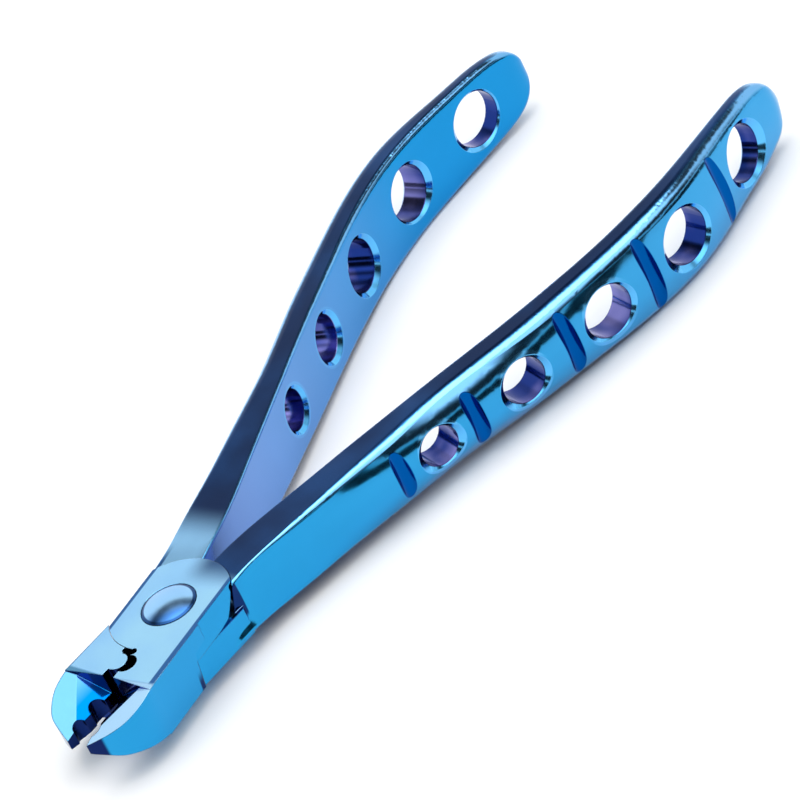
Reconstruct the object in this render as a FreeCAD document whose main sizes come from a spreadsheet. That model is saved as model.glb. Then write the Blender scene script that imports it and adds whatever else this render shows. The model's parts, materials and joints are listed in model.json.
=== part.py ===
# Lap-joint crimping pliers with two curved, drilled and fluted handles.
# Units are millimetres. The pivot axis is parallel to Z, the jaws point to -Y,
# the handles to +Y, and +Z is the face that carries the larger domed rivet head.
# Each half is drawn about the pivot in its closed position, with the lap faces
# at Z = 0, then turned about the pivot into the rest position, with the jaws a
# few degrees open, and moved so that the origin is the middle of the tool's
# underside as it lies flat.
import FreeCAD, Part
import os
import math
import Sketcher

os.makedirs("parts", exist_ok=True)
V = FreeCAD.Vector
doc = FreeCAD.newDocument("CrimpingPliers")

# ---------------------------------------------------------------- dimensions
sheet = doc.addObject("Spreadsheet::Sheet", "Dims")
sheet.Label = "Dims"
DIMS = [
    ("open_each_deg", 4.15, "each half is turned this far from closed at rest"),
    ("pivot_y", -49.353, "pivot from the middle of the overall length"),
    ("pivot_z", 7.537, "lap plane above the underside"),
    ("joint_half_thick", 4.62, "half of the joint's thickness"),
    ("joint_half_width", 7.42, "half of the joint's width"),
    ("lap_gap", 0.03, "each lap face stands this far off Z = 0"),
    ("disc_r_crotch", 9.72, "lap disc radius on the handle side"),
    ("disc_r_jaw", 9.34, "lap disc radius on the jaw side"),
    ("undercut_r", 7.6, "lap disc radius at Z = 0 on the handle side"),
    ("shoulder_r_top", 9.82, "handle shoulder radius at the outer face"),
    ("shoulder_r_mid", 8.4, "handle shoulder radius at Z = 0"),
    ("shoulder_r_jaw", 9.44, "jaw shoulder radius"),
    ("pivot_bore_r", 2.45, "pivot bore radius"),
    ("head_seat_r", 4.42, "seat radius for a rivet head"),
    ("head_seat_depth", 1.0, "seat depth for a rivet head"),
    ("rivet_head_r", 4.27, "rivet head radius"),
    ("rivet_dome_h", 0.85, "dome height above the joint face"),
    ("barrel_r", 2.42, "rivet barrel radius"),
    ("barrel_bore_r", 1.5, "rivet barrel bore radius"),
    ("screw_r", 1.49, "rear rivet shank radius"),
    ("jaw_gap", 0.05, "each jaw edge stands this far off the closing line"),
    ("tooth_depth", 2.0, "height of the round tooth beside the joint"),
    ("notch_x", 0.35, "notch centres stand this far beyond the closing line"),
    ("notch_a_y", -18.3, "first crimping notch centre"),
    ("notch_a_r", 1.55, "first crimping notch radius"),
    ("notch_b_y", -22.45, "second crimping notch centre"),
    ("notch_b_r", 1.3, "second crimping notch radius"),
    ("relief_r", 0.62, "round relief where jaw line meets the shoulder"),
    ("relief_y", -9.75, "round relief centre"),
    ("flute_r", 1.32, "radius of the thumb flutes"),
    ("rim_in", 0.75, "bevel at a handle hole's inner rim"),
    ("rim_out", 1.0, "bevel at a handle hole's outer rim"),
    ("hole1_r", 3.20, "handle hole 1"),
    ("hole2_r", 3.66, "handle hole 2"),
    ("hole3_r", 4.19, "handle hole 3"),
    ("hole4_r", 4.45, "handle hole 4"),
    ("hole5_r", 4.50, "handle hole 5, also the hanging hole"),
]
# x and y of the inner face, lean of the inner face in degrees, thickness,
# half height, outer rounding, crown radius, inner rounding, lean of the outer side
STATIONS = [
    (0.12, 3.00, 6.00, 6.95, 4.50, 0.30, 400.0, 0.34, 0.42),
    (0.36, 11.00, 9.80, 7.10, 4.58, 0.35, 300.0, 0.34, 0.42),
    (1.65, 18.40, 12.87, 7.05, 4.91, 0.50, 161.0, 0.35, 0.38),
    (2.74, 23.00, 13.85, 6.98, 5.06, 0.75, 60.0, 0.38, 0.32),
    (4.27, 28.75, 14.92, 7.07, 5.32, 1.10, 15.5, 0.41, 0.18),
    (5.78, 34.50, 15.29, 7.19, 5.60, 1.50, 10.7, 0.44, 0.09),
    (7.63, 41.40, 15.48, 7.24, 5.88, 1.95, 8.5, 0.48, 0.00),
    (9.48, 48.30, 15.39, 7.15, 6.15, 2.07, 7.7, 0.53, 0.00),
    (11.36, 55.20, 14.62, 7.14, 6.35, 2.18, 7.9, 0.57, 0.00),
    (13.16, 62.10, 13.97, 6.99, 6.50, 2.30, 9.1, 0.66, 0.00),
    (14.84, 69.00, 13.00, 6.69, 6.67, 2.42, 10.7, 0.75, 0.00),
    (16.40, 75.90, 11.33, 6.39, 6.96, 2.42, 12.6, 0.86, 0.00),
    (17.67, 82.80, 7.84, 6.26, 7.24, 2.42, 14.9, 0.98, 0.00),
    (18.40, 89.70, 2.84, 6.20, 7.47, 2.42, 17.2, 1.06, 0.00),
    (18.49, 96.60, -2.47, 5.93, 7.53, 2.42, 20.1, 1.15, 0.00),
    (17.90, 103.50, -7.02, 5.22, 7.36, 2.42, 24.1, 1.15, 0.00),
    (16.91, 110.40, -9.48, 4.54, 7.04, 2.30, 27.6, 1.15, 0.00),
    (16.02, 116.00, -10.12, 4.24, 6.68, 2.13, 29.3, 1.15, 0.00),
    (15.24, 120.50, -9.76, 3.97, 5.92, 1.95, 25.3, 1.15, 0.00),
    (15.00, 122.90, -9.41, 3.66, 4.83, 1.67, 18.4, 1.09, 0.00),
    (15.13, 124.35, -9.11, 2.79, 3.45, 1.26, 10.3, 0.92, 0.00),
    (15.56, 125.25, -8.91, 1.69, 1.95, 0.63, 4.6, 0.57, 0.00),
]
# x, y and lean of a hole's axis at mid thickness, radius name, handle thickness there
HOLES = [
    (12.25, 45.02, -14.80, "hole1_r", 7.26),
    (16.34, 60.77, -14.50, "hole2_r", 6.95),
    (19.95, 77.20, -10.60, "hole3_r", 6.40),
    (21.25, 94.50, -1.60, "hole4_r", 5.95),
    (18.60, 112.75, 12.00, "hole5_r", 4.50),
]
FLUTES = [(14.28, 37.05), (17.28, 50.75), (21.42, 68.90), (24.15, 85.45), (23.30, 105.03)]

row = 1
for name, value, note in DIMS:
    sheet.set("A%d" % row, name)
    sheet.set("B%d" % row, repr(value))
    sheet.set("C%d" % row, note)
    sheet.setAlias("B%d" % row, name)
    row += 1
STN = ("sx", "sy", "slean", "sthick", "sheight", "sround", "scrown", "sinner", "sside")
for i, st in enumerate(STATIONS):
    for j, key in enumerate(STN):
        sheet.set("A%d" % row, "%s_%02d_v" % (key, i))
        sheet.set("B%d" % row, repr(st[j]))
        sheet.setAlias("B%d" % row, "%s_%02d_v" % (key, i))
        row += 1
for i, h in enumerate(HOLES):
    for j, key in ((0, "hole_x"), (1, "hole_y"), (2, "hole_lean"), (4, "hole_thick")):
        sheet.set("A%d" % row, "%s_%d_v" % (key, i + 1))
        sheet.set("B%d" % row, repr(h[j]))
        sheet.setAlias("B%d" % row, "%s_%d_v" % (key, i + 1))
        row += 1
for i, f in enumerate(FLUTES):
    for j, key in enumerate(("flute_x", "flute_y")):
        sheet.set("A%d" % row, "%s_%d_v" % (key, i + 1))
        sheet.set("B%d" % row, repr(f[j]))
        sheet.setAlias("B%d" % row, "%s_%d_v" % (key, i + 1))
        row += 1
doc.recompute()


def dim(name):
    return float(sheet.get(name))


# ------------------------------------------------------------------- helpers
def plane_of(body, role):
    for o in body.Origin.OriginFeatures:
        if o.Role == role:
            return o
    raise RuntimeError("no origin plane " + role)


def sketch(body, label, role, placement=None):
    sk = body.newObject("Sketcher::SketchObject", label)
    sk.Label = label
    sk.AttachmentSupport = [(plane_of(body, role), "")]
    sk.MapMode = "FlatFace"
    if placement is not None:
        sk.AttachmentOffset = placement
    return sk


def bind(obj, prop, expression):
    obj.setExpression(prop, expression)


def basis(pos, xdir, ydir):
    # placement that carries a sketch's X to xdir and its Y to ydir
    zdir = xdir.cross(ydir)
    m = FreeCAD.Matrix(xdir.x, ydir.x, zdir.x, pos.x,
                       xdir.y, ydir.y, zdir.y, pos.y,
                       xdir.z, ydir.z, zdir.z, pos.z,
                       0, 0, 0, 1)
    return FreeCAD.Placement(m)


def polyline(sk, pts):
    for a, b in zip(pts, pts[1:] + pts[:1]):
        sk.addGeometry(Part.LineSegment(V(a[0], a[1], 0), V(b[0], b[1], 0)), False)


def handle_section(sk, i):
    # flat inner face at x = 0, small inner roundings, flat top and bottom,
    # crowned outer face joined by tangent roundings
    t = dim("sthick_%02d_v" % i)
    h = dim("sheight_%02d_v" % i)
    ro = dim("sround_%02d_v" % i)
    rc = dim("scrown_%02d_v" % i)
    ri = dim("sinner_%02d_v" % i)
    cx = (t - rc) + math.sqrt((rc - ro) ** 2 - (h - ro) ** 2)
    q = math.sqrt(0.5)
    ux, uz = (cx - (t - rc)) / (rc - ro), (h - ro) / (rc - ro)
    p_in_b, p_in_t = V(0, -h + ri, 0), V(0, h - ri, 0)
    p_tl, p_tr = V(ri, h, 0), V(cx, h, 0)
    p_ot = V(cx + ro * ux, h - ro + ro * uz, 0)
    ang = 0.5 * (math.pi / 2 + math.atan2(uz, ux))
    m_ot = V(cx + ro * math.cos(ang), h - ro + ro * math.sin(ang), 0)
    side = dim("sside_%02d_v" % i)

    def low(p):
        return V(p.x, -p.y, 0)

    def leant(p):
        # the outer side stands further out on the side of the own lap
        return V(p.x - side * p.y / h, p.y, 0)
    geo = [
        Part.LineSegment(p_in_b, p_in_t),
        Part.Arc(p_in_t, V(ri - ri * q, h - ri + ri * q, 0), p_tl),
        Part.LineSegment(p_tl, leant(p_tr)),
        Part.Arc(leant(p_tr), leant(m_ot), leant(p_ot)),
        Part.Arc(leant(p_ot), V(t, 0, 0), leant(low(p_ot))),
        Part.Arc(leant(low(p_ot)), leant(low(m_ot)), leant(low(p_tr))),
        Part.LineSegment(leant(low(p_tr)), low(p_tl)),
        Part.Arc(low(p_tl), V(ri - ri * q, -(h - ri + ri * q), 0), p_in_b),
    ]
    for g in geo:
        sk.addGeometry(g, False)


def jaw_outline(sk, male, side_shift):
    # plan outline of a jaw, on the -X side of the closing line
    g = dim("jaw_gap")
    d = dim("tooth_depth") * (1 if male else -1)
    w = -dim("joint_half_width") - side_shift
    e = -g
    if male:
        y0, y1 = -13.75, -10.55
        peak = V(d - g, -12.2, 0)
    else:
        y0, y1 = -13.85, -10.45
        peak = V(d - g, -12.2, 0)
    pts = [V(w + 0.05, -3.0, 0), V(w, -8.0, 0), V(w - 0.1, -15.4, 0)]
    for a, b in zip(pts, pts[1:]):
        sk.addGeometry(Part.LineSegment(a, b), False)
    nose = [pts[-1], V(w - 0.12, -17.4, 0), V(w + 0.35, -19.8, 0), V(w + 1.3, -21.7, 0),
            V(-4.3, -23.4, 0), V(-2.2, -24.45, 0), V(-0.9, -25.0, 0), V(e, -25.3, 0)]
    bs = Part.BSplineCurve()
    bs.interpolate(nose)
    sk.addGeometry(bs, False)
    sk.addGeometry(Part.LineSegment(V(e, -25.3, 0), V(e, y0, 0)), False)
    sk.addGeometry(Part.Arc(V(e, y0, 0), peak, V(e, y1, 0)), False)
    sk.addGeometry(Part.LineSegment(V(e, y1, 0), V(e, -3.0, 0)), False)
    sk.addGeometry(Part.LineSegment(V(e, -3.0, 0), pts[0]), False)


def build_half(label, male, placement):
    T = dim("joint_half_thick")
    W = dim("joint_half_width")
    gap = dim("lap_gap")
    rc_, rj = dim("disc_r_crotch"), dim("disc_r_jaw")
    body = doc.addObject("PartDesign::Body", label)
    body.Label = label
    tag = "A" if male else "B"

    # handle: loft through sections square to its run
    secs = []
    for i in range(len(STATIONS)):
        lean = math.radians(dim("slean_%02d_v" % i))
        pos = V(dim("sx_%02d_v" % i), dim("sy_%02d_v" % i), 0)
        sk = sketch(body, "HandleSection%s%02d" % (tag, i), "XY_Plane",
                    basis(pos, V(math.cos(lean), -math.sin(lean), 0), V(0, 0, 1)))
        bind(sk, "AttachmentOffset.Base.x", "Dims.sx_%02d_v" % i)
        bind(sk, "AttachmentOffset.Base.y", "Dims.sy_%02d_v" % i)
        handle_section(sk, i)
        secs.append(sk)
    doc.recompute()
    loft = body.newObject("PartDesign::AdditiveLoft", "Handle" + tag)
    loft.Profile = secs[0]
    loft.Sections = secs[1:]
    loft.Ruled = False
    loft.Closed = False
    doc.recompute()

    # jaw: its outer side leans a little, wider on the side of its own lap
    top = sketch(body, "JawTop" + tag, "XY_Plane", FreeCAD.Placement(V(0, 0, T), FreeCAD.Rotation()))
    bind(top, "AttachmentOffset.Base.z", "Dims.joint_half_thick")
    jaw_outline(top, male, -0.52)
    low = sketch(body, "JawLow" + tag, "XY_Plane", FreeCAD.Placement(V(0, 0, -T), FreeCAD.Rotation()))
    bind(low, "AttachmentOffset.Base.z", "-Dims.joint_half_thick")
    jaw_outline(low, male, 0.32)
    jaw = body.newObject("PartDesign::AdditiveLoft", "Jaw" + tag)
    jaw.Profile = low
    jaw.Sections = [top]
    jaw.Ruled = True
    doc.recompute()

    # lap disc, from the outer face to just short of the lap plane
    sk = sketch(body, "LapDisc" + tag, "XY_Plane",
                FreeCAD.Placement(V(0, 0, -T), FreeCAD.Rotation()))
    bind(sk, "AttachmentOffset.Base.z", "-Dims.joint_half_thick")
    yc = math.sqrt(rc_ ** 2 - W ** 2)
    yj = math.sqrt(rj ** 2 - W ** 2)
    sk.addGeometry(Part.LineSegment(V(W, -yj, 0), V(W, yc, 0)), False)
    sk.addGeometry(Part.Arc(V(W, yc, 0), V(0, rc_, 0), V(-W, yc, 0)), False)
    sk.addGeometry(Part.LineSegment(V(-W, yc, 0), V(-W, -yj, 0)), False)
    sk.addGeometry(Part.Arc(V(-W, -yj, 0), V(0, -rj, 0), V(W, -yj, 0)), False)
    disc = body.newObject("PartDesign::Pad", "Lap" + tag)
    disc.Profile = sk
    disc.Length = T - gap
    bind(disc, "Length", "Dims.joint_half_thick - Dims.lap_gap")
    doc.recompute()

    # room for the other half's lap: conical on the handle side, straight on the jaw side
    sk = sketch(body, "RoomHandleSide" + tag, "YZ_Plane")
    polyline(sk, [(0, -gap), (dim("shoulder_r_mid"), -gap), (dim("shoulder_r_top"), T),
                  (dim("shoulder_r_top"), T + 8), (0, T + 8)])
    g1 = body.newObject("PartDesign::Groove", "ShoulderHandleSide" + tag)
    g1.Profile = sk
    g1.ReferenceAxis = (sk, ["V_Axis"])
    g1.Midplane = True
    g1.Angle = 180
    doc.recompute()
    sk = sketch(body, "RoomJawSide" + tag, "YZ_Plane")
    rj2 = dim("shoulder_r_jaw")
    polyline(sk, [(0, -gap), (-rj2, -gap), (-rj2, T + 8), (0, T + 8)])
    g2 = body.newObject("PartDesign::Groove", "ShoulderJawSide" + tag)
    g2.Profile = sk
    g2.ReferenceAxis = (sk, ["V_Axis"])
    g2.Midplane = True
    g2.Angle = 180
    doc.recompute()

    # undercut of the lap disc on the side of the other half's shoulder
    a = math.radians(124.8)
    sk = sketch(body, "DiscUndercut" + tag, "XY_Plane",
                basis(V(0, 0, 0), V(math.cos(a), math.sin(a), 0), V(0, 0, 1)))
    polyline(sk, [(dim("undercut_r"), 0.2), (rc_ + 2, 0.2), (rc_ + 2, -T), (rc_, -T)])
    g3 = body.newObject("PartDesign::Groove", "Undercut" + tag)
    g3.Profile = sk
    g3.ReferenceAxis = (sk, ["V_Axis"])
    g3.Midplane = True
    g3.Angle = 70.4
    doc.recompute()

    # nose: rim plane and hollow plane, above and below, behind a steep wall
    def hollow_z(x, y):
        return 0.574 * x - 0.0215 * y + 0.7

    def rim_z(x, y):
        return 0.26 * x + 0.2 * y + 5.84
    for s in (1, -1):
        for nm, fz in (("Hollow", hollow_z), ("Rim", rim_z)):
            wall = V(-0.988, -0.157, 0)
            up = V(0, 0, 1)
            ska = sketch(body, "%sBack%s%s" % (nm, tag, "T" if s > 0 else "U"), "XY_Plane",
                         basis(V(0, -15.15, 0), wall, up))
            # sketch x runs outward along the back wall
            def row_pts(y0, slope):
                out = []
                for xx in (-0.9, 0.0, 9.5):
                    yy = y0 - slope * max(xx, 0)
                    out.append((xx, s * fz(max(xx, 0) * 0.988 if slope else max(xx, 0), yy)))
                out.append((9.5, s * 8.0))
                out.append((-0.9, s * 8.0))
                return out
            polyline(ska, row_pts(-15.15, 0.157))
            skb = sketch(body, "%sTip%s%s" % (nm, tag, "T" if s > 0 else "U"), "XY_Plane",
                         basis(V(0, -27.0, 0), V(-1, 0, 0), up))
            polyline(skb, row_pts(-27.0, 0.0))
            cut = body.newObject("PartDesign::SubtractiveLoft", "%sCut%s%s" % (nm, tag, "T" if s > 0 else "U"))
            cut.Profile = ska
            cut.Sections = [skb]
            cut.Ruled = True
            doc.recompute()

    # crimping notches and the round relief
    for nm, yk, rk in (("NotchA", "notch_a_y", "notch_a_r"), ("NotchB", "notch_b_y", "notch_b_r"),
                       ("Relief", "relief_y", "relief_r")):
        sk = sketch(body, nm + "Profile" + tag, "XY_Plane",
                    FreeCAD.Placement(V(0, dim(yk), 0), FreeCAD.Rotation()))
        bind(sk, "AttachmentOffset.Base.y", "Dims." + yk)
        if nm != "Relief":
            bind(sk, "AttachmentOffset.Base.x", "Dims.notch_x")
        c = sk.addGeometry(Part.Circle(V(0, 0, 0), V(0, 0, 1), dim(rk)), False)
        sk.addConstraint(Sketcher.Constraint("Coincident", c, 3, -1, 1))
        n = sk.addConstraint(Sketcher.Constraint("Radius", c, dim(rk)))
        bind(sk, "Constraints[%d]" % n, "Dims." + rk)
        pk = body.newObject("PartDesign::Pocket", nm + tag)
        pk.Profile = sk
        pk.Midplane = True
        pk.Length = 30
        doc.recompute()

    # handle holes, square to the handle
    for i, h in enumerate(HOLES):
        lean = math.radians(dim("hole_lean_%d_v" % (i + 1)))
        ax = V(math.cos(lean), math.sin(lean), 0)
        sk = sketch(body, "Hole%dProfile%s" % (i + 1, tag), "XY_Plane",
                    basis(V(dim("hole_x_%d_v" % (i + 1)), dim("hole_y_%d_v" % (i + 1)), 0),
                          V(-ax.y, ax.x, 0), V(0, 0, 1)))
        bind(sk, "AttachmentOffset.Base.x", "Dims.hole_x_%d_v" % (i + 1))
        bind(sk, "AttachmentOffset.Base.y", "Dims.hole_y_%d_v" % (i + 1))
        c = sk.addGeometry(Part.Circle(V(0, 0, 0), V(0, 0, 1), dim(h[3])), False)
        sk.addConstraint(Sketcher.Constraint("Coincident", c, 3, -1, 1))
        n = sk.addConstraint(Sketcher.Constraint("Radius", c, dim(h[3])))
        bind(sk, "Constraints[%d]" % n, "Dims." + h[3])
        pk = body.newObject("PartDesign::Pocket", "Hole%d%s" % (i + 1, tag))
        pk.Profile = sk
        pk.Midplane = True
        pk.Length = 22
        doc.recompute()

    # bevelled rims of the handle holes, turned about each hole's own axis
    for i, h in enumerate(HOLES):
        lean = math.radians(dim("hole_lean_%d_v" % (i + 1)))
        ax = V(math.cos(lean), math.sin(lean), 0)
        r, ht = dim(h[3]), 0.5 * dim("hole_thick_%d_v" % (i + 1))
        for nm, way, bev in (("Inner", -1, dim("rim_in")), ("Outer", 1, dim("rim_out"))):
            sk = sketch(body, "Rim%s%dProfile%s" % (nm, i + 1, tag), "XY_Plane",
                        basis(V(dim("hole_x_%d_v" % (i + 1)), dim("hole_y_%d_v" % (i + 1)), 0),
                              ax, V(0, 0, 1)))
            bind(sk, "AttachmentOffset.Base.x", "Dims.hole_x_%d_v" % (i + 1))
            bind(sk, "AttachmentOffset.Base.y", "Dims.hole_y_%d_v" % (i + 1))
            polyline(sk, [(way * (ht - bev - 0.2), r - 0.2), (way * (ht + 1.5), r - 0.2),
                          (way * (ht + 1.5), r + bev + 1.5)])
            gr = body.newObject("PartDesign::Groove", "Rim%s%d%s" % (nm, i + 1, tag))
            gr.Profile = sk
            gr.ReferenceAxis = (sk, ["H_Axis"])
            gr.Angle = 360
            doc.recompute()

    # thumb flutes across the outer face
    for i, f in enumerate(FLUTES):
        x, y = dim("flute_x_%d_v" % (i + 1)), dim("flute_y_%d_v" % (i + 1))
        sk = sketch(body, "Flute%dProfile%s" % (i + 1, tag), "XY_Plane",
                    FreeCAD.Placement(V(x, y, 0), FreeCAD.Rotation()))
        bind(sk, "AttachmentOffset.Base.x", "Dims.flute_x_%d_v" % (i + 1))
        bind(sk, "AttachmentOffset.Base.y", "Dims.flute_y_%d_v" % (i + 1))
        c = sk.addGeometry(Part.Circle(V(0, 0, 0), V(0, 0, 1), dim("flute_r")), False)
        sk.addConstraint(Sketcher.Constraint("Coincident", c, 3, -1, 1))
        n = sk.addConstraint(Sketcher.Constraint("Radius", c, dim("flute_r")))
        bind(sk, "Constraints[%d]" % n, "Dims.flute_r")
        pk = body.newObject("PartDesign::Pocket", "Flute%d%s" % (i + 1, tag))
        pk.Profile = sk
        pk.Midplane = True
        pk.Length = 30
        doc.recompute()

    # pivot bore and the seat of the rivet head in the outer face
    sk = sketch(body, "PivotBoreProfile" + tag, "XY_Plane")
    c = sk.addGeometry(Part.Circle(V(0, 0, 0), V(0, 0, 1), dim("pivot_bore_r")), False)
    sk.addConstraint(Sketcher.Constraint("Coincident", c, 3, -1, 1))
    n = sk.addConstraint(Sketcher.Constraint("Radius", c, dim("pivot_bore_r")))
    bind(sk, "Constraints[%d]" % n, "Dims.pivot_bore_r")
    pk = body.newObject("PartDesign::Pocket", "PivotBore" + tag)
    pk.Profile = sk
    pk.Midplane = True
    pk.Length = 30
    doc.recompute()
    sk = sketch(body, "HeadSeatProfile" + tag, "XY_Plane",
                FreeCAD.Placement(V(0, 0, -T), FreeCAD.Rotation()))
    bind(sk, "AttachmentOffset.Base.z", "-Dims.joint_half_thick")
    c = sk.addGeometry(Part.Circle(V(0, 0, 0), V(0, 0, 1), dim("head_seat_r")), False)
    sk.addConstraint(Sketcher.Constraint("Coincident", c, 3, -1, 1))
    n = sk.addConstraint(Sketcher.Constraint("Radius", c, dim("head_seat_r")))
    bind(sk, "Constraints[%d]" % n, "Dims.head_seat_r")
    pk = body.newObject("PartDesign::Pocket", "HeadSeat" + tag)
    pk.Profile = sk
    pk.Midplane = True
    pk.Length = 2 * dim("head_seat_depth")
    bind(pk, "Length", "2 * Dims.head_seat_depth")
    doc.recompute()
    body.Placement = placement
    doc.recompute()
    return body


opening = dim("open_each_deg")
Z = V(0, 0, 1)
pivot = V(0, dim("pivot_y"), dim("pivot_z"))
lower = build_half("lower_lap_half", True,
                   FreeCAD.Placement(pivot, FreeCAD.Rotation(Z, -opening)))
upper = build_half("upper_lap_half", False,
                   FreeCAD.Placement(pivot, FreeCAD.Rotation(Z, opening) * FreeCAD.Rotation(V(0, 1, 0), 180)))


# -------------------------------------------------------------------- rivets
def build_rivet(label, top):
    T = dim("joint_half_thick")
    hr, dome = dim("rivet_head_r"), dim("rivet_dome_h")
    seat = T - dim("head_seat_depth") + 0.03
    body = doc.addObject("PartDesign::Body", label)
    body.Label = label
    s = 1 if top else -1
    sk = sketch(body, "Profile" + label, "XZ_Plane")
    rim = T + 0.02
    crown = T + dome
    if top:
        bore, barrel = dim("barrel_bore_r"), dim("barrel_r")
        low = -(T - dim("head_seat_depth")) + 0.05
        pts = [(bore, low), (barrel, low), (barrel, seat), (hr, seat), (hr, rim)]
        inner = T - 0.6
        last = [(0, inner), (bore, inner)]
    else:
        shank = dim("screw_r")
        pts = [(0, T - 0.9), (shank, T - 0.9), (shank, -seat), (hr, -seat), (hr, -rim)]
        last = []
    for a, b in zip(pts, pts[1:]):
        sk.addGeometry(Part.LineSegment(V(a[0], a[1], 0), V(b[0], b[1], 0)), False)
    # the dome is a cap of a ball centred on the axis
    rise = crown - rim
    ball = (hr ** 2 + rise ** 2) / (2 * rise)
    half = 0.5 * math.asin(hr / ball)
    mid = V(ball * math.sin(half), s * (crown - ball + ball * math.cos(half)), 0)
    sk.addGeometry(Part.Arc(V(hr, s * rim, 0), mid, V(0, s * crown, 0)), False)
    closing = [(0, s * crown)] + last + [pts[0]]
    for a, b in zip(closing, closing[1:]):
        sk.addGeometry(Part.LineSegment(V(a[0], a[1], 0), V(b[0], b[1], 0)), False)
    rv = body.newObject("PartDesign::Revolution", "Turn" + label)
    rv.Profile = sk
    rv.ReferenceAxis = (sk, ["V_Axis"])
    rv.Angle = 360
    body.Placement = FreeCAD.Placement(pivot, FreeCAD.Rotation())
    doc.recompute()
    return body


front = build_rivet("rivet_front", True)
back = build_rivet("rivet_back", False)

# ------------------------------------------------------------ check and write
doc.recompute()
for ob in doc.Objects:
    bad = [x for x in ob.State if x in ("Invalid", "Error")]
    if bad:
        raise RuntimeError("%s is %s" % (ob.Label, bad))
for body in (lower, upper, front, back):
    shp = body.Shape
    if shp.isNull() or not shp.isValid() or len(shp.Solids) != 1:
        raise RuntimeError("bad shape in %s: %d solids" % (body.Label, len(shp.Solids)))
    print(body.Label, "volume %.1f" % shp.Volume, shp.BoundBox)
    shp.exportStep("parts/%s.step" % body.Label)
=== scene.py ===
import bpy
import bmesh
import json
import math
from mathutils import Matrix, Vector


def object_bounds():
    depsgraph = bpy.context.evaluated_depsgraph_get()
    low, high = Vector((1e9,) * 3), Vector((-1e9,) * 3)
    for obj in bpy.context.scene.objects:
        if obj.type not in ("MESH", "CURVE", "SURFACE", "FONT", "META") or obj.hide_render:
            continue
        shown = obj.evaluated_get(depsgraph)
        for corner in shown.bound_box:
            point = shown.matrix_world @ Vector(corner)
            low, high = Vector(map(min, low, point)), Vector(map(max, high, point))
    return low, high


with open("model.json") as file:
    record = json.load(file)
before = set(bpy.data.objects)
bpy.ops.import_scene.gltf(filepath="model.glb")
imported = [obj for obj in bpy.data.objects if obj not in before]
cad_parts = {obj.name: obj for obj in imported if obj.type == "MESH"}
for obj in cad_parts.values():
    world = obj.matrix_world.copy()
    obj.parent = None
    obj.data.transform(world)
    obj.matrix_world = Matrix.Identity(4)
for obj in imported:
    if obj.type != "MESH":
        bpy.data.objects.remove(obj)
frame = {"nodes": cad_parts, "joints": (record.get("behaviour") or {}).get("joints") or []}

sc = bpy.context.scene
nodes = frame["nodes"]
start_lo, start_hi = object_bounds()

K = 0.00115
PIVOT = Vector(frame["joints"][0]["pos_m"])

# ---------------------------------------------------------------- camera
cam_data = bpy.data.cameras.new("camera")
cam_data.lens = 290.84
cam_data.sensor_width = 36.0
cam_data.clip_start = 0.01
cam_data.clip_end = 50.0
cam = bpy.data.objects.new("camera", cam_data)
sc.collection.objects.link(cam)
right = Vector((0.73992, 0.56004, -0.37265))
up = Vector((-0.12965, 0.66231, 0.73792))
back = Vector((0.66008, -0.49769, 0.56267))
loc = PIVOT + Vector((553.443, -370.335, 468.449)) * K
cam.matrix_world = Matrix(((right.x, up.x, back.x, loc.x),
                           (right.y, up.y, back.y, loc.y),
                           (right.z, up.z, back.z, loc.z),
                           (0, 0, 0, 1)))
sc.camera = cam

# ---------------------------------------------------------------- floor
def plane(name, w, h, matrix):
    bm = bmesh.new()
    bmesh.ops.create_grid(bm, x_segments=1, y_segments=1, size=0.5)
    me = bpy.data.meshes.new(name)
    bm.to_mesh(me)
    bm.free()
    ob = bpy.data.objects.new(name, me)
    ob.matrix_world = matrix @ Matrix.Diagonal((w, h, 1, 1))
    sc.collection.objects.link(ob)
    return ob


floor_mat = bpy.data.materials.new("floor_white")
floor_mat.use_nodes = True
b = floor_mat.node_tree.nodes["Principled BSDF"]
b.inputs["Base Color"].default_value = (0.93, 0.935, 0.94, 1)
b.inputs["Roughness"].default_value = 0.6
b.inputs["Specular IOR Level"].default_value = 0.1
floor = plane("studio_floor", 8.0, 8.0, Matrix.Translation((0, 0, start_lo.z)))
floor.data.materials.append(floor_mat)

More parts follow.
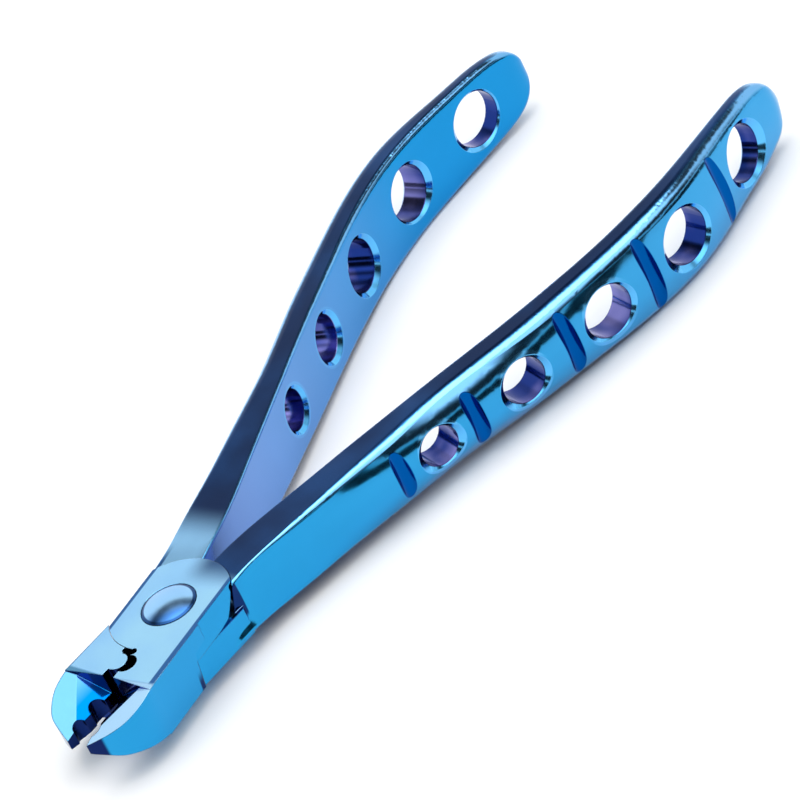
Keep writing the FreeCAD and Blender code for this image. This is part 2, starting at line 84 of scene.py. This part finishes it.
# ---------------------------------------------------------------- materials
class Net:
    """small helper that builds scalar expressions as shader nodes"""

    def __init__(self, nt):
        self.nt = nt

    def m(self, op, *args):
        n = self.nt.nodes.new("ShaderNodeMath")
        n.operation = op
        for i, a in enumerate(args):
            if isinstance(a, (int, float)):
                n.inputs[i].default_value = a
            else:
                self.nt.links.new(a, n.inputs[i])
        return n.outputs[0]

    def step(self, v, lo, hi, smooth=True):
        n = self.nt.nodes.new("ShaderNodeMapRange")
        n.interpolation_type = "SMOOTHSTEP" if smooth else "LINEAR"
        flip = lo > hi
        n.inputs["From Min"].default_value = min(lo, hi)
        n.inputs["From Max"].default_value = max(lo, hi)
        n.inputs["To Min"].default_value = 1.0 if flip else 0.0
        n.inputs["To Max"].default_value = 0.0 if flip else 1.0
        self.nt.links.new(v, n.inputs["Value"])
        return n.outputs["Result"]

    def mix(self, fac, a, b):
        n = self.nt.nodes.new("ShaderNodeMix")
        n.data_type = "RGBA"
        self.nt.links.new(fac, n.inputs[0])
        for s, v in ((6, a), (7, b)):
            if isinstance(v, tuple):
                n.inputs[s].default_value = (v[0], v[1], v[2], 1)
            else:
                self.nt.links.new(v, n.inputs[s])
        return n.outputs[2]

    def noise(self, vec, scale, detail, stretch=None):
        if stretch is not None:
            mp = self.nt.nodes.new("ShaderNodeMapping")
            mp.inputs["Scale"].default_value = stretch
            self.nt.links.new(vec, mp.inputs["Vector"])
            vec = mp.outputs[0]
        n = self.nt.nodes.new("ShaderNodeTexNoise")
        n.inputs["Scale"].default_value = scale
        n.inputs["Detail"].default_value = detail
        self.nt.links.new(vec, n.inputs["Vector"])
        return n.outputs["Fac"]


OPEN = math.radians(4.15)
HOLES = [(12.25, 45.02, -14.80, 3.20), (16.34, 60.77, -14.50, 3.66), (19.95, 77.20, -10.60, 4.19),
         (21.25, 94.50, -1.60, 4.45), (18.60, 112.75, 12.00, 4.50)]
FLUTES = [(14.28, 37.05), (17.28, 50.75), (21.42, 68.90), (24.15, 85.45), (23.30, 105.03)]


def metal(name, side):
    # side: +1 for the half whose handle is on +X, -1 for the other, 0 for rivets
    mat = bpy.data.materials.new(name)
    mat.use_nodes = True
    nt = mat.node_tree
    b = nt.nodes["Principled BSDF"]
    b.inputs["Metallic"].default_value = 1.0
    e = Net(nt)
    tc = nt.nodes.new("ShaderNodeTexCoord")
    sp = nt.nodes.new("ShaderNodeSeparateXYZ")
    nt.links.new(tc.outputs["Object"], sp.inputs[0])
    sn = nt.nodes.new("ShaderNodeSeparateXYZ")
    nt.links.new(tc.outputs["Normal"], sn.inputs[0])
    # millimetres about the pivot
    x = e.m("MULTIPLY", e.m("SUBTRACT", sp.outputs[0], PIVOT.x), 1000.0)
    y = e.m("MULTIPLY", e.m("SUBTRACT", sp.outputs[1], PIVOT.y), 1000.0)
    z = e.m("MULTIPLY", e.m("SUBTRACT", sp.outputs[2], PIVOT.z), 1000.0)
    nz = e.m("ABSOLUTE", sn.outputs[2])
    nx, ny = sn.outputs[0], sn.outputs[1]
    r = e.m("SQRT", e.m("ADD", e.m("MULTIPLY", x, x), e.m("MULTIPLY", y, y)))
    cloud = e.noise(tc.outputs["Object"], 60.0, 3.0)
    fine = e.noise(tc.outputs["Object"], 900.0, 4.0)
    if side:
        # closed-position coordinates of this half, mirrored so its handle is on +X
        c, s = math.cos(OPEN), math.sin(OPEN)
        xm = e.m("MULTIPLY", x, float(side))
        nxm = e.m("MULTIPLY", nx, float(side))
        xc = e.m("SUBTRACT", e.m("MULTIPLY", xm, c), e.m("MULTIPLY", y, s))
        yc = e.m("ADD", e.m("MULTIPLY", xm, s), e.m("MULTIPLY", y, c))
        top = e.step(nz, 0.90, 0.985)
        handle = e.step(yc, 12.0, 20.0) if side < 0 else e.step(yc, 5.5, 9.0)
        if side < 0:
            # painted shade: the lap darkens towards the crotch
            crotch_painted_shade = e.m("MULTIPLY", e.m("MULTIPLY", e.step(yc, 3.5, 9.5), e.step(xc, 2.5, -2.5)), 0.92)
            handle = e.m("MAXIMUM", handle, crotch_painted_shade)
        jaw = e.step(yc, -15.0, -15.6)
        # sides: mid blue, inner faces a little more violet near the joint
        inner = e.m("MULTIPLY", e.step(nxm, -0.55, -0.9), e.step(yc, 5.0, 12.0))
        along = e.step(yc, 15.0, 95.0, False)
        inner_col = e.mix(along, (0.17, 0.30, 0.64), (0.012, 0.27, 0.62))
        col = e.mix(inner, e.mix(along, (0.022, 0.31, 0.64), (0.05, 0.34, 0.68)), inner_col)
        # painted highlight: the rounded upper and lower edges of the handles get a paler band
        fil = e.m("MULTIPLY", e.m("MULTIPLY", e.step(nz, 0.42, 0.66), e.step(nz, 0.985, 0.90)), handle)
        col = e.mix(fil, col, (0.17, 0.46, 0.82))
        # flats: painted light, a pale painted highlight on the joint and a navy painted dark reflection on the
        # handles
        flat = e.mix(handle, (0.31, 0.64, 1.0), (0.006, 0.026, 0.095))
        flat = e.mix(e.step(cloud, 0.35, 0.75), flat, e.mix(handle, (0.36, 0.70, 1.0), (0.014, 0.065, 0.21)))
        col = e.mix(top, col, flat)
        # nose hollow and its back wall: painted shade, the hollow deep blue grading to a paler blue across it, the
        # back wall darker still
        hol = e.m("MULTIPLY", jaw, e.step(nz, 0.55, 0.80))
        out = e.step(xc, -2.0, -7.2, False)
        col = e.mix(hol, col, e.mix(out, (0.0, 0.13, 0.47), (0.14, 0.33, 0.56)))
        wall = e.m("MULTIPLY", e.m("MULTIPLY", e.step(yc, -14.6, -15.0), e.step(e.m("ABSOLUTE", ny), 0.6, 0.9)),
                   e.step(yc, -17.2, -16.6))
        col = e.mix(wall, col, (0.0, 0.045, 0.30))
        # jaw rim: painted highlight on the upper lap half, painted shade on the lower lap half
        rim = e.m("MULTIPLY", jaw, e.step(nz, 0.915, 0.935))
        col = e.mix(rim, col, (0.10, 0.30, 0.50) if side > 0 else (0.40, 0.68, 0.96))
        # painted dark reflection: the flat's border on the joint and jaws rolls over into a thin dark line
        axc = e.m("ABSOLUTE", xc)
        line = e.m("MULTIPLY", e.m("MULTIPLY", e.step(axc, 6.70, 6.92), e.step(axc, 7.90, 7.60)),
                   e.m("MULTIPLY", top, e.m("SUBTRACT", 1.0, jaw)))
        col = e.mix(e.m("MULTIPLY", line, e.step(yc, 12.0, 8.0)), col, (0.03, 0.13, 0.36))
        # painted shade on the meshing edges of the jaws
        mate = e.m("MULTIPLY", e.m("MULTIPLY", e.step(yc, -9.0, -9.8), e.step(nz, 0.5, 0.2)),
                   e.step(e.m("ABSOLUTE", xc), 3.0, 2.4))
        col = e.mix(mate, col, (0.006, 0.018, 0.10))
        # painted shade on the shoulders around the laps
        sh = e.m("MULTIPLY", e.m("MULTIPLY", e.step(r, 8.0, 8.3), e.step(r, 10.15, 9.98)), e.step(nz, 0.5, 0.3))
        sh = e.m("MULTIPLY", sh, e.step(e.m("ABSOLUTE", xc), 7.2, 7.0))
        col = e.mix(sh, col, (0.008, 0.03, 0.13))
        # thumb flutes: painted shade in the grooves
        fl = None
        for fx, fy in FLUTES:
            dx, dy = e.m("SUBTRACT", xc, fx), e.m("SUBTRACT", yc, fy)
            d = e.m("SQRT", e.m("ADD", e.m("MULTIPLY", dx, dx), e.m("MULTIPLY", dy, dy)))
            k = e.step(d, 1.46, 1.34)
            fl = k if fl is None else e.m("MAXIMUM", fl, k)
        col = e.mix(fl, col, (0.0, 0.085, 0.34))
        # hole walls: painted shade with a streaky tone; their bevels: a painted highlight
        ho = be = None
        for hx, hy, lean, hr in HOLES:
            a = math.radians(lean)
            ax, ay = math.cos(a), math.sin(a)
            q = e.m("SUBTRACT", e.m("MULTIPLY", e.m("SUBTRACT", yc, hy), ax),
                    e.m("MULTIPLY", e.m("SUBTRACT", xc, hx), ay))
            d = e.m("SQRT", e.m("ADD", e.m("MULTIPLY", q, q), e.m("MULTIPLY", z, z)))
            k = e.step(d, hr + 0.09, hr + 0.03)
            w = e.step(d, hr + 1.15, hr + 1.0)
            ho = k if ho is None else e.m("MAXIMUM", ho, k)
            be = w if be is None else e.m("MAXIMUM", be, w)
        streak = e.noise(tc.outputs["Object"], 140.0, 2.0, (1.0, 1.0, 0.25))
        hole_col = e.mix(e.step(streak, 0.42, 0.70), (0.012, 0.035, 0.22), (0.20, 0.20, 0.52))
        bev = e.m("MULTIPLY", be, e.m("MULTIPLY", e.step(e.m("ABSOLUTE", nxm), 0.97, 0.90), e.step(nz, 0.9, 0.85)))
        col = e.mix(bev, col, (0.12, 0.50, 0.92))
        col = e.mix(ho, col, hole_col)
        # finish: polished sides, finely brushed flats
        rough = e.m("ADD", e.m("MULTIPLY", top, 0.12), e.m("ADD", 0.10, e.m("MULTIPLY", fine, 0.05)))
        nt.links.new(rough, b.inputs["Roughness"])
        lines = e.noise(tc.outputs["Object"], 1.0, 3.0, (220.0, 5200.0, 220.0))
        lines2 = e.noise(tc.outputs["Object"], 1.0, 3.0, (5200.0, 260.0, 260.0))
        height = e.m("ADD", e.m("MULTIPLY", e.m("MULTIPLY", lines, handle), top),
                     e.m("MULTIPLY", e.m("MULTIPLY", lines2, e.m("SUBTRACT", 0.35, e.m("MULTIPLY", handle, 0.35))), top))
        height = e.m("ADD", height, e.m("MULTIPLY", fine, 0.025))
    else:
        # painted shade: a dark ring where the head meets the body and on the steep sides of the head
        ring = e.m("MULTIPLY", e.step(r, 3.75, 3.95), e.step(r, 4.6, 4.4))
        low = e.step(nz, 0.6, 0.4)
        col = e.mix(e.step(cloud, 0.3, 0.8), (0.26, 0.55, 0.92), (0.36, 0.66, 0.98))
        # painted shade: one side of the dome darker
        shade = e.step(e.m("SUBTRACT", e.m("MULTIPLY", x, 0.72), e.m("MULTIPLY", y, 0.69)), 0.4, 3.0)
        col = e.mix(shade, col, (0.05, 0.17, 0.46))
        col = e.mix(ring, col, (0.02, 0.075, 0.22))
        col = e.mix(low, col, (0.012, 0.05, 0.16))
        rough = e.m("ADD", 0.16, e.m("MULTIPLY", fine, 0.10))
        nt.links.new(rough, b.inputs["Roughness"])
        height = e.m("MULTIPLY", fine, 0.25)
    # slow tint drift in the coating
    drift = nt.nodes.new("ShaderNodeHueSaturation")
    nt.links.new(col, drift.inputs["Color"])
    nt.links.new(e.m("ADD", 0.90, e.m("MULTIPLY", cloud, 0.20)), drift.inputs["Value"])
    nt.links.new(drift.outputs[0], b.inputs["Base Color"])
    bevel = nt.nodes.new("ShaderNodeBevel")
    bevel.samples = 6
    bevel.inputs["Radius"].default_value = 0.00022
    bump = nt.nodes.new("ShaderNodeBump")
    bump.inputs["Strength"].default_value = 0.16
    bump.inputs["Distance"].default_value = 0.00004
    nt.links.new(height, bump.inputs["Height"])
    nt.links.new(bevel.outputs[0], bump.inputs["Normal"])
    nt.links.new(bump.outputs[0], b.inputs["Normal"])
    return mat


SIDE = {"lower_lap_half": 1, "upper_lap_half": -1}
for n, o in nodes.items():
    m = metal("steel_" + n, SIDE.get(n, 0))
    for s in range(max(1, len(o.material_slots))):
        if len(o.material_slots) == 0:
            o.data.materials.append(m)
        else:
            o.material_slots[s].material = m

# ---------------------------------------------------------------- light
# a plain studio: white far wall low down, dark panel above it, bright overhead
# box, and a dark room on the near side with one slim light strip
sc.view_settings.view_transform = "Standard"
world = bpy.data.worlds.new("studio")
sc.world = world
world.use_nodes = True
wt = world.node_tree
bg = wt.nodes["Background"]
w = Net(wt)
wc = wt.nodes.new("ShaderNodeTexCoord")
ws = wt.nodes.new("ShaderNodeSeparateXYZ")
wt.links.new(wc.outputs["Generated"], ws.inputs[0])
side = w.m("ADD", w.m("MULTIPLY", ws.outputs[0], 0.80), w.m("MULTIPLY", ws.outputs[1], -0.60))
near = w.step(side, -0.15, 0.15)
el = ws.outputs[2]
far_low = w.m("MULTIPLY", w.step(el, 0.70, 0.64), 1.0)
far_top = w.m("MULTIPLY", w.step(el, 0.80, 0.90), 1.7)
far_v = w.m("ADD", w.m("ADD", far_low, far_top), 0.05)
strip = w.m("MULTIPLY", w.step(el, 0.22, 0.25), w.step(el, 0.33, 0.30))
near_v = w.m("ADD", w.m("ADD", w.m("MULTIPLY", strip, 0.9), w.m("MULTIPLY", w.step(el, 0.50, 0.72), 1.7)), 0.03)
val = w.m("ADD", w.m("MULTIPLY", far_v, w.m("SUBTRACT", 1.0, near)), w.m("MULTIPLY", near_v, near))
wt.links.new(w.m("MULTIPLY", val, 1.0), bg.inputs["Strength"])
bg.inputs["Color"].default_value = (1, 1, 1, 1)


def area(name, pos, target, w, h, power, color=(1, 1, 1)):
    d = bpy.data.lights.new(name, "AREA")
    d.shape = "RECTANGLE"
    d.size = w
    d.size_y = h
    d.energy = power
    d.color = color
    o = bpy.data.objects.new(name, d)
    o.location = pos
    q = (Vector(target) - Vector(pos)).to_track_quat("-Z", "Y")
    o.rotation_euler = q.to_euler()
    sc.collection.objects.link(o)
    return o


area("key", (0.1, 0.2, 1.3), (0, 0, 0), 1.0, 1.0, 5)
